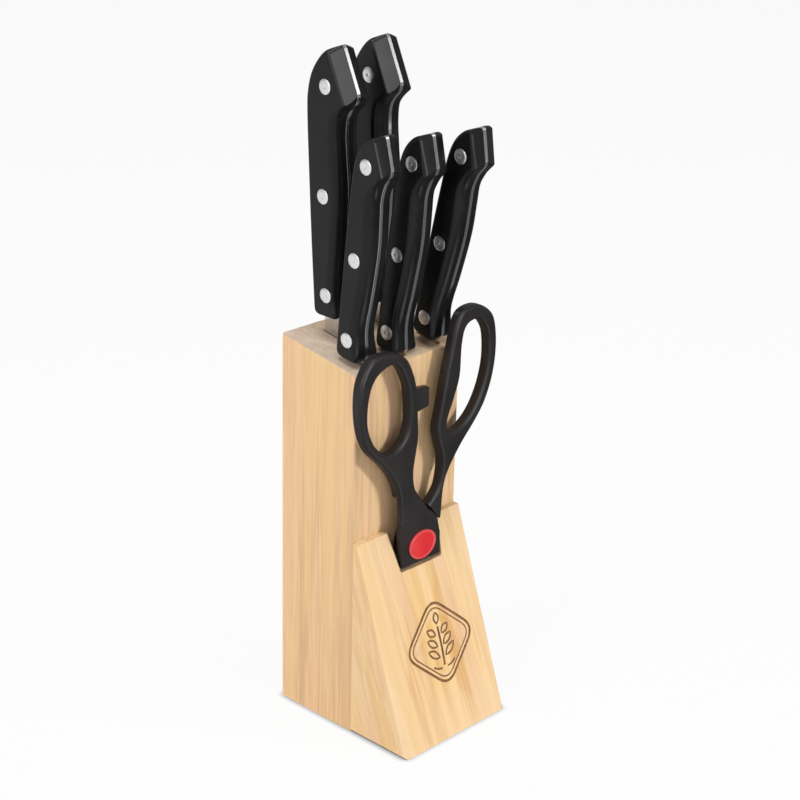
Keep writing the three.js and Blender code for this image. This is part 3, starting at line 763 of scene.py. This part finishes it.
def rounded_plate(name, outline, low, high, radii, steps=6):
    """A plate whose rim at x = high is rounded, each point of the outline by its own radius."""
    count = len(outline)
    inward = []
    for i in range(count):
        along = (outline[(i + 1) % count] - outline[i - 1]).normalized()
        inward.append(Vector((-along.y, along.x)))
    rings = [[(low, *p) for p in outline]]
    for k in range(steps + 1):
        angle = k / steps * math.pi / 2
        inset, rise = 1 - math.cos(angle), 1 - math.sin(angle)
        rings.append([(high - r * rise, *(p + n * r * inset)) for p, n, r in zip(outline, inward, radii)])
    mesh = bmesh.new()
    loops = [[mesh.verts.new(Vector(spot) * MM) for spot in ring] for ring in rings]
    for lower, upper in zip(loops, loops[1:]):
        for i in range(count):
            mesh.faces.new((lower[i - 1], lower[i], upper[i], upper[i - 1]))
    mesh.faces.new(loops[0])
    mesh.faces.new(loops[-1])
    bmesh.ops.recalc_face_normals(mesh, faces=mesh.faces)
    piece = bpy.data.objects.new(name, bpy.data.meshes.new(name))
    mesh.to_mesh(piece.data)
    mesh.free()
    bpy.context.scene.collection.objects.link(piece)
    return piece


def rolled(piece, first, second, radius, steps=4):
    """Rounds the edge between two flat faces, each a (normal, reach) in mm, with narrow flat cuts."""
    (a, reach_a), (b, reach_b) = first, second
    lap = a.dot(b)
    share_a = ((reach_a - radius) - lap * (reach_b - radius)) / (1 - lap * lap)
    share_b = ((reach_b - radius) - lap * (reach_a - radius)) / (1 - lap * lap)
    axis = a * share_a + b * share_b
    for k in range(1, steps + 1):
        normal = a.slerp(b, k / (steps + 1))
        bisect(piece, axis + normal * radius, normal, use_fill=True, clear_outer=True)


def moulded(name, handle):
    """The right scale of a handle, standing at the origin."""
    outline, grip = handle_outline(handle)
    piece = rounded_plate(name, outline, BLADE_HALF, handle["half"], rounding(outline, grip))
    hook, peak = Vector(handle["hook"]), Vector(handle["peak"])
    run = (peak - hook).normalized()
    out = Vector((0, -run.y, run.x))
    slant = Vector((handle["setback"], 0, 0)) + out * (handle["half"] - BLADE_HALF)
    slant.normalize()
    spot = Vector((BLADE_HALF, hook.x, hook.y))
    bisect(piece, spot, slant, use_fill=True, clear_outer=True)
    butt = (slant, slant.dot(spot))
    rolled(piece, butt, (Vector((1, 0, 0)), handle["half"]), SIDE_ROLL)
    before, after = (Vector(p) for p in handle["back"][-2:])
    rise = (after - before).normalized()
    away = Vector((0, rise.y, -rise.x))
    rolled(piece, butt, (away, away.dot(Vector((0, *after)))), TOP_ROLL)
    for spot in handle["rivets"]:
        cut(piece, rod(spot, RIVET_RADIUS + RIVET_GAP, DRILL_HALF))
    return piece


def plastic(name, colour, gloss, grain_size, roughness):
    """Moulded plastic with a fine even grain, a little duller in patches."""
    material, tree, shader = surface(name)
    place = node(tree, "ShaderNodeTexCoord").outputs["Object"]
    fine = node(tree, "ShaderNodeTexNoise", {"Vector": place, "Scale": grain_size, "Detail": 2})
    broad = node(tree, "ShaderNodeTexNoise", {"Vector": place, "Scale": 55, "Detail": 3})
    lighter = shaded(colour, 1.5, 0.002)
    patches = ramp(tree, broad.outputs["Fac"], [(0.35, 0.0), (0.7, 1.0)])
    specks = maths(tree, "MULTIPLY", ramp(tree, fine.outputs["Fac"], [(0.45, 0.0), (0.8, 1.0)]), 0.35)
    clouded = mixed_colour(tree, patches, colour, lighter)
    tree.links.new(mixed_colour(tree, specks, clouded, lighter), shader.inputs["Base Color"])
    worn = ramp(tree, broad.outputs["Fac"], [(0.3, roughness[0]), (0.7, roughness[1])])
    tree.links.new(worn, shader.inputs["Roughness"])
    relief(tree, shader, fine.outputs["Fac"], strength=0.12, depth=0.05)
    shader.inputs["Specular IOR Level"].default_value = gloss
    return material


handle_plastic = plastic(
    "handle_plastic", linear(14, 14, 15), gloss=0.23, grain_size=2600, roughness=(0.28, 0.38)
)
patterns = {handle["name"]: moulded("scale", handle) for handle in (LONG_HANDLE, SHORT_HANDLE)}
for knife in KNIVES:
    for side, mirror in (("right", 1), ("left", -1)):
        pattern = patterns[knife["handle"]["name"]]
        mirrored = knife["place"] @ Matrix.Diagonal((mirror, 1, 1, 1))
        scale = copied(pattern, f"{knife['name']}_{side}_scale", mirrored)
        edit(scale)
        bpy.ops.mesh.normals_make_consistent(inside=False)
        done()
        eased(scale, BUTT_EASE, degrees=30)
        smooth(scale)
        finished(scale, handle_plastic, f"{knife['name']}_knife", f"{knife['name']}_knife_{side}_scale")
for pattern in patterns.values():
    bpy.data.objects.remove(pattern)

# ---- Knife blades ----
# Satin stainless steel, 2 mm thick. The tang has the handle's own outline, a plain neck stands in
# the mouth of the slot, and the blade is ground flat on both sides to a thin edge.

TANG_EASE = 0.12 * MM
SPINE = 7
NECK_FRONT = -6
NECK_STEP = 0.5
NECK_RUN = 2
TANG_LAP = 2
HEEL_SINK = 3
HEEL_RISE = 5
HEEL_CORNER = 1
SCALLOP_START = 6
SCALLOP_DEPTH = 1.8
POINT_BACK = 4
POINT_PULL = 8
POINT_RUN = 30
GRIND_START = 0.45
GRIND_RUN = 7
GRIND_LAP = 0.5
EDGE_HALF = 0.2
SLIVER = 0.01 * MM


def blade_outline(knife):
    """The neck and the blade from the side, as (across, along) in mm from the handle's foot."""
    heel, tip, edge = -knife["rise"] - HEEL_SINK, -knife["length"], knife["edge"]
    belly = tip + knife["belly"]
    neck_back = SPINE - NECK_STEP
    neck = [(neck_back, TANG_LAP), (NECK_FRONT, TANG_LAP), (NECK_FRONT, heel + HEEL_RISE)]
    line = [Vector(p) for p in neck]
    line += bend(line[-1], (NECK_FRONT, heel), (edge + HEEL_CORNER, heel))
    line.append(Vector((edge, heel - HEEL_CORNER)))
    if "scallop" in knife:
        pitch = knife["scallop"]
        count = math.floor((heel - SCALLOP_START - belly) / pitch)
        first = belly + count * pitch
        line.append(Vector((edge, first)))
        for i in range(1, count + 1):
            end = first - i * pitch
            line += bend(line[-1], (edge + SCALLOP_DEPTH, end + pitch / 2), (edge, end))
    else:
        line.append(Vector((edge, belly)))
    line += bend(line[-1], (edge, tip + knife["belly"] / 3), (SPINE - POINT_BACK, tip), steps=12)
    line += bend(line[-1], (SPINE, tip + POINT_PULL), (SPINE, tip + POINT_RUN), steps=8)
    line.append(Vector((SPINE, heel + HEEL_RISE - NECK_RUN)))
    line.append(Vector((neck_back, heel + HEEL_RISE)))
    return line


def plate(name, outline, low, high):
    """A flat plate in the YZ plane, from x = low to x = high, cut to the outline."""
    bpy.ops.object.select_all(action="DESELECT")
    bpy.ops.mesh.primitive_circle_add(vertices=len(outline), fill_type="NGON")
    piece = bpy.context.object
    piece.name = name
    for vertex, point in zip(piece.data.vertices, outline):
        vertex.co = (low * MM, point.x * MM, point.y * MM)
    edit(piece)
    bpy.ops.mesh.extrude_region_move(TRANSFORM_OT_translate={"value": ((high - low) * MM, 0, 0)})
    bpy.ops.mesh.select_all(action="SELECT")
    bpy.ops.mesh.normals_make_consistent(inside=False)
    done()
    return piece


def forged(knife):
    """Tang, neck and blade as one plate, with the blade ground thin towards its edge."""
    heel = -knife["rise"] - HEEL_SINK
    grind = knife["edge"] + (SPINE - knife["edge"]) * (1 - GRIND_START)
    piece = plate("blade", blade_outline(knife), -BLADE_HALF, BLADE_HALF)
    bisect(piece, (0, grind, 0), (0, 1, 0))
    bisect(piece, (0, 0, heel), (0, 0, 1))
    bisect(piece, (0, 0, heel - GRIND_RUN), (0, 0, 1))
    for vertex in piece.data.vertices:
        across, along = vertex.co.y / MM, vertex.co.z / MM
        sunk = heel + GRIND_LAP - along
        if across < grind and sunk > 0:
            thin = (grind - across) / (grind - knife["edge"]) * min(sunk / GRIND_RUN, 1)
            vertex.co.x *= 1 - thin * (1 - EDGE_HALF / BLADE_HALF)
    tang = plate("tang", handle_outline(knife["handle"])[0], -BLADE_HALF, BLADE_HALF)
    cut(piece, tang, "UNION")
    for spot in knife["handle"]["rivets"]:
        cut(piece, rod(spot, RIVET_RADIUS, DRILL_HALF))
    edit(piece)
    bpy.ops.mesh.dissolve_degenerate(threshold=SLIVER)
    done()
    return piece


def metal(name, colour, rough, brushed, strength):
    """Bare metal. brushed gives the scale of the brush lines along x, y and z, strength their depth."""
    material, tree, shader = surface(name)
    place = node(tree, "ShaderNodeTexCoord").outputs["Object"]
    drawn = node(tree, "ShaderNodeMapping", {0: place, "Scale": brushed})
    lines = node(tree, "ShaderNodeTexNoise", {"Vector": drawn.outputs[0], "Scale": 900, "Detail": 3})
    cloud = node(tree, "ShaderNodeTexNoise", {"Vector": place, "Scale": 70, "Detail": 2})
    line_share = ramp(tree, lines.outputs["Fac"], [(0.3, 0.0), (0.7, 1.0)])
    brushed_colour = mixed_colour(tree, line_share, shaded(colour, 0.86), colour)
    tree.links.new(brushed_colour, shader.inputs["Base Color"])
    fine = ramp(tree, lines.outputs["Fac"], [(0.3, rough - 0.06), (0.7, rough + 0.08)])
    broad = ramp(tree, cloud.outputs["Fac"], [(0.3, rough - 0.05), (0.7, rough + 0.07)])
    tree.links.new(mixed_colour(tree, 0.5, fine, broad), shader.inputs["Roughness"])
    relief(tree, shader, lines.outputs["Fac"], strength, depth=0.02)
    shader.inputs["Metallic"].default_value = 1
    return material


STEEL = linear(205, 206, 208)

blade_steel = metal("blade_steel", STEEL, rough=0.17, brushed=(1, 1, 0.03), strength=0.06)
for knife in KNIVES:
    blade = forged(knife)
    blade.name = f"{knife['name']}_blade"
    blade.data.transform(knife["place"])
    eased(blade, TANG_EASE, segments=1, degrees=50)
    # easing can leave a pinhole where cuts meet
    edit(blade)
    bpy.ops.mesh.fill_holes(sides=6)
    done()
    smooth(blade, degrees=30)
    finished(blade, blade_steel, f"{knife['name']}_knife", f"{knife['name']}_knife_blade")

# ---- Rivets ----
# Three turned rivets through each handle. Their heads stand a hair over the plastic, with a rounded
# rim and a small turned dimple in the middle.

# the head's turned outline, as (radius, height) over the end of the bar
RIVET_HEAD = [(3.1, 0.22), (2.7, 0.27), (2.1, 0.31), (1.4, 0.34), (0.8, 0.35), (0.5, 0.24), (0.25, 0.2)]
RIVET_SINK = 0.15


def edit_end(piece, outward):
    """Opens a round bar for editing with the end selected that faces outward."""
    edit(piece, "DESELECT")
    bpy.ops.mesh.select_mode(type="FACE")
    done()
    for face in piece.data.polygons:
        is_end = len(face.vertices) > 4
        face.select = is_end and face.normal.dot(outward) > 0
    bpy.ops.object.mode_set(mode="EDIT")


def turned_rivet(spot, half):
    """A round bar whose two ends are domed, with a small dimple in the middle."""
    piece = rod(spot, RIVET_RADIUS, half - RIVET_SINK)
    for side in (1, -1):
        edit_end(piece, Vector((side, 0, 0)))
        radius, height = RIVET_RADIUS, 0.0
        for next_radius, next_height in RIVET_HEAD:
            bpy.ops.mesh.inset(thickness=(radius - next_radius) * MM, depth=(next_height - height) * MM)
            radius, height = next_radius, next_height
        done()
    return piece


rivet_metal = metal("rivet_metal", linear(232, 232, 230), rough=0.34, brushed=(1, 1, 1), strength=0.05)
for knife in KNIVES:
    for number, spot in enumerate(knife["handle"]["rivets"], 1):
        rivet = turned_rivet(spot, knife["handle"]["half"])
        rivet.name = f"{knife['name']}_rivet_{number}"
        rivet.data.transform(knife["place"])
        smooth(rivet, degrees=35)
        finished(rivet, rivet_metal, f"{knife['name']}_knife", f"{knife['name']}_knife_rivet_{number}")

# ---- Scissors: handles ----
# Two finger rings with shanks, moulded from black plastic over the tangs of the shear blades. The
# left handle's root lies over the right one's at the pivot, and its lug stops the rings closing.

PIVOT = Vector((1.6, 0, 95.7))
RING_HALF = 3.3
RING_ROUND = 2.0
RING_Y = -31.6
RING_EASE = 0.35 * MM
SHEAR_Y = -30.7
SCISSORS_FRONT_Y = -35.5
SCISSORS_BACK_Y = -25.9
ROOT_TOP = 20.3
ROOT_DROP = 8.9
ROOT_GROWN = 0.07
ROOT_SLOPE = 7
ROOT_LEAN = 1.1
ROOT_HALF_WIDTH = 13.8
ROOT_TAPER = 0.5
BORE_RADIUS = 3.1
BORE_LENGTH = 30
SLAB_MERGE = 0.002 * MM
SLAB_FLAT_DEGREES = 0.2

# inside ROOT_SPLIT the left root keeps in front of COVER_LEFT_Y and the right one behind
# COVER_RIGHT_Y, with the blades between them
COVER_LEFT_Y = -32.45
COVER_RIGHT_Y = -28.95
PAST_FRONT_Y = -45
PAST_BACK_Y = -20
ROOT_SPLIT = [(60, -20), (60, 4), (13, 9.7), (2.2, 23.3), (-5.2, 28.7), (-60, 28.7), (-60, -20)]

# the outlines are in mm from the pivot, across and up
LEFT_SHANK_OUT = [(-14.8, 7.3), (-14.6, 18.3), (-16.3, 31.7), (-20.2, 40), (-26.6, 48.3)]
LEFT_RING = [(-37.6, 59.7), (-42.4, 71), (-43.95, 84.5), (-42.3, 96.2), (-35.2, 105.5), (-23, 106.1),
             (-12.5, 100.9), (-6.9, 91), (-4.7, 83.1)]
LEFT_LUG = [(4.4, 81.9), (4.2, 72.1), (-3.4, 70.9)]
LEFT_SHANK_IN = [(-2.8, 57.3), (-4.3, 48.3), (-5.5, 40.3), (-4.4, 31.8), (-1, 26.1)]
LEFT_ROOT = [(2.4, 21.7), (10.5, 11.6), (13.2, 2.3)]
LEFT_HOLE = [(-19.4, 99.1), (-29.6, 97.9), (-35.5, 92.2), (-38, 81.5), (-37.3, 71), (-32.2, 60.7),
             (-24.5, 54.9), (-17.4, 55.4), (-11.1, 61.7), (-9.6, 72.5), (-11.8, 86.8)]
RIGHT_SHANK_OUT = [(12, 1.3), (15.1, 9.3), (15.8, 18.3), (17, 27.1), (20.6, 35)]
RIGHT_RING = [(28.5, 45.1), (38.4, 55.1), (45.5, 64.4), (50.6, 77.5), (52.3, 92.4), (50.1, 106.2),
              (44.3, 113.1), (36, 116.6), (27, 115.5), (22.6, 109.9), (19.6, 98.5), (16.2, 85)]
RIGHT_SHANK_IN = [(12.8, 69.4), (10.4, 58.3), (11.8, 50.3), (14.4, 42.9), (14.7, 34.3), (12.6, 26.1),
                  (8, 20.9)]
RIGHT_ROOT_SIDE = (-8, 8)
RIGHT_ROOT_FOOT = (6.8, -8.5)
RIGHT_ROOT_PULLS = ((-12, -2), (11, -4))
RIGHT_HOLE = [(37.6, 108.7), (29.7, 107.1), (26.8, 98.5), (26, 82.5), (22.1, 71), (17.7, 60.5),
              (19.4, 54.6), (27, 54.6), (35.6, 60.4), (42.4, 70.8), (46.1, 83.7), (45.9, 96),
              (43.4, 103.4)]


def closed_line(points, steps=6):
    """A smooth closed line through the points."""
    points = [Vector(p) for p in points]
    points = [points[-1], *points, *points[:2]]
    line = []
    for i in range(len(points) - 3):
        line += [between(*points[i:i + 4], k / steps) for k in range(steps)]
    return line


def left_outline():
    """The left handle from the front, going round from its root."""
    line = [Vector((-ROOT_HALF_WIDTH, -ROOT_DROP))]
    line += through([line[0], *LEFT_SHANK_OUT, *LEFT_RING])
    line += [Vector(p) for p in LEFT_LUG]
    line += through([line[-1], *LEFT_SHANK_IN])
    line += [Vector(p) for p in LEFT_ROOT]
    line.append(Vector((ROOT_HALF_WIDTH - ROOT_TAPER, -ROOT_DROP)))
    return line


def right_outline():
    """The right handle from the front, going round to its root, a disc that the left one hides."""
    left_pull, right_pull = RIGHT_ROOT_PULLS
    foot = Vector(RIGHT_ROOT_FOOT)
    line = through([*RIGHT_SHANK_OUT, *RIGHT_RING, *RIGHT_SHANK_IN])
    line.append(Vector(RIGHT_ROOT_SIDE))
    line += bend(line[-1], left_pull, (-foot.x, foot.y))
    line.append(foot)
    line += bend(foot, right_pull, RIGHT_SHANK_OUT[0])
    return line


def slab(name, lines, low, high, rounded=0.0, grown=0.0):
    """A slab in the XZ plane about the pivot, from y = low to y = high, with its rims rounded."""
    shape = bpy.data.curves.new(name, "CURVE")
    shape.dimensions = "2D"
    shape.fill_mode = "BOTH"
    shape.extrude = ((high - low) / 2 - rounded) * MM
    shape.bevel_depth = rounded * MM
    shape.bevel_resolution = 4
    shape.offset = (grown - rounded) * MM
    for line in lines:
        spline = shape.splines.new("POLY")
        spline.points.add(len(line) - 1)
        for target, point in zip(spline.points, line):
            target.co = (point[0] * MM, point[1] * MM, 0, 1)
        spline.use_cyclic_u = True
    piece = bpy.data.objects.new(name, shape)
    bpy.context.scene.collection.objects.link(piece)
    middle = Vector((PIVOT.x, (low + high) / 2, PIVOT.z)) * MM
    piece.matrix_world = Matrix.Translation(middle) @ Matrix.Rotation(math.pi / 2, 4, "X")
    alone(piece)
    bpy.ops.object.convert(target="MESH")
    bpy.ops.object.transform_apply(location=True, rotation=True, scale=True)
    edit(piece)
    bpy.ops.mesh.remove_doubles(threshold=SLAB_MERGE)
    bpy.ops.mesh.normals_make_consistent(inside=False)
    bpy.ops.mesh.dissolve_limited(angle_limit=math.radians(SLAB_FLAT_DEGREES))
    done()
    return piece


def pivot_bar(y, radius, length, vertices):
    """A round bar on the pivot's axis."""
    place = Vector((PIVOT.x, y, PIVOT.z)) * MM
    return bar(place, radius * MM, length * MM, turn=(math.pi / 2, 0, 0), vertices=vertices)


def scissors_handle(name, lines, low, high, cover_low, cover_high):
    """A rounded ring and shank that grow into a flat root, less the room that the other root takes."""
    ring = slab(name, lines, RING_Y - RING_HALF, RING_Y + RING_HALF, RING_ROUND)
    root = slab("root", lines, low, high, grown=ROOT_GROWN)
    bisect(root, (0, 0, PIVOT.z + ROOT_TOP), (0, 0, 1), use_fill=True, clear_outer=True)
    for face, side in ((low, -1), (high, 1)):
        gap = abs(face - RING_Y) - RING_HALF
        if gap > 0:
            foot = (0, face, PIVOT.z + ROOT_TOP - ROOT_SLOPE)
            slant = (0, side * ROOT_SLOPE, gap * ROOT_LEAN)
            bisect(root, foot, slant, use_fill=True, clear_outer=True)
    cut(ring, root, "UNION")
    cut(ring, slab("cover", [ROOT_SPLIT], cover_low, cover_high))
    cut(ring, pivot_bar(SHEAR_Y, BORE_RADIUS, BORE_LENGTH, vertices=48))
    return ring


scissors_plastic = plastic(
    "scissors_plastic", linear(29, 26, 26), gloss=0.3, grain_size=3200, roughness=(0.38, 0.5)
)
left_lines = [left_outline(), closed_line(LEFT_HOLE)]
right_lines = [right_outline(), closed_line(RIGHT_HOLE)]
HANDLES = [
    ("left", left_lines, SCISSORS_FRONT_Y, SHEAR_Y, COVER_LEFT_Y, PAST_BACK_Y),
    ("right", right_lines, SHEAR_Y, SCISSORS_BACK_Y, PAST_FRONT_Y, COVER_RIGHT_Y),
]
for side, *shape in HANDLES:
    handle = scissors_handle(f"scissors_{side}_ring", *shape)
    eased(handle, RING_EASE, degrees=50)
    smooth(handle)
    finished(handle, scissors_plastic, f"scissors_{side}", f"scissors_{side}_handle")

# ---- Scissors: blades and pivot ----
# Two flat shear blades lie face to face in the wedge's pocket, a steel pin goes through both roots,
# and a glossy oval cap of red plastic is pressed over the pin's head.

SHEAR_EASE = 0.12 * MM
PIN_EASE = 0.2 * MM

shear_steel = metal("shear_steel", STEEL, rough=0.3, brushed=(1, 1, 0.05), strength=0.15)
for side, cad_node in (("left", "scissors_front_blade"), ("right", "scissors_rear_blade")):
    shear = copy_of(cad_node.replace("blade", "shear"), cad_node)
    eased(shear, SHEAR_EASE, segments=1)
    smooth(shear)
    finished(shear, shear_steel, f"scissors_{side}", cad_node)

pin = copy_of("pivot_pin", "scissors_pivot_pin")
eased(pin, PIN_EASE)
smooth(pin)
finished(pin, rivet_metal, "scissors_left", "scissors_pivot_pin")

CAP_HALF_WIDTH = 9.3
CAP_HALF_HEIGHT = 7.6
CAP_THICKNESS = 1.3
CAP_EASE = 0.3 * MM
# from the rim inwards: a flat rim, the step down behind it, and a face that rises to its middle
CAP_STEPS = ((1.1, 0), (0.45, -0.35), (2.4, 0.18), (2.2, 0.08))
# the cap's outer rim is painted a lighter red: a painted highlight along its edge
RIM_START = 0.8
RIM_FADE = 0.1
RIM_HIGHLIGHT_SHARE = 0.65
RIM_HIGHLIGHT_RED = linear(232, 96, 100)

cap = pivot_bar(SCISSORS_FRONT_Y - CAP_THICKNESS / 2, CAP_HALF_WIDTH, CAP_THICKNESS, vertices=96)
cap.name = "pivot_cap"
cap.scale.y = CAP_HALF_HEIGHT / CAP_HALF_WIDTH
bpy.ops.object.transform_apply(location=True, rotation=True, scale=True)
edit_end(cap, Vector((0, -1, 0)))
for inset, rise in CAP_STEPS:
    bpy.ops.mesh.inset(thickness=inset * MM, depth=rise * MM)
done()
eased(cap, CAP_EASE, segments=3, degrees=35)
smooth(cap)

red_plastic = plastic(
    "red_plastic", linear(216, 30, 38), gloss=0.45, grain_size=2400, roughness=(0.26, 0.36)
)
tree = red_plastic.node_tree
shader = tree.nodes["Principled BSDF"]
place = node(tree, "ShaderNodeTexCoord").outputs["Object"]
centred = node(tree, "ShaderNodeMapping", {
    0: place, "Location": (-PIVOT.x / CAP_HALF_WIDTH, 0, -PIVOT.z / CAP_HALF_HEIGHT),
    "Scale": (1 / (CAP_HALF_WIDTH * MM), 0, 1 / (CAP_HALF_HEIGHT * MM)),
})
reach = node(tree, "ShaderNodeVectorMath", {0: centred.outputs[0]}, operation="LENGTH").outputs["Value"]
# painted highlight: towards the rim the red is mixed with a lighter red
rim_highlight_share = ramp(tree, reach, [(RIM_START, 0.0), (RIM_START + RIM_FADE, RIM_HIGHLIGHT_SHARE)])
dyed = shader.inputs["Base Color"].links[0].from_socket
tree.links.new(mixed_colour(tree, rim_highlight_share, dyed, RIM_HIGHLIGHT_RED), shader.inputs["Base Color"])
finished(cap, red_plastic, "scissors_left", "scissors_pivot_cap")
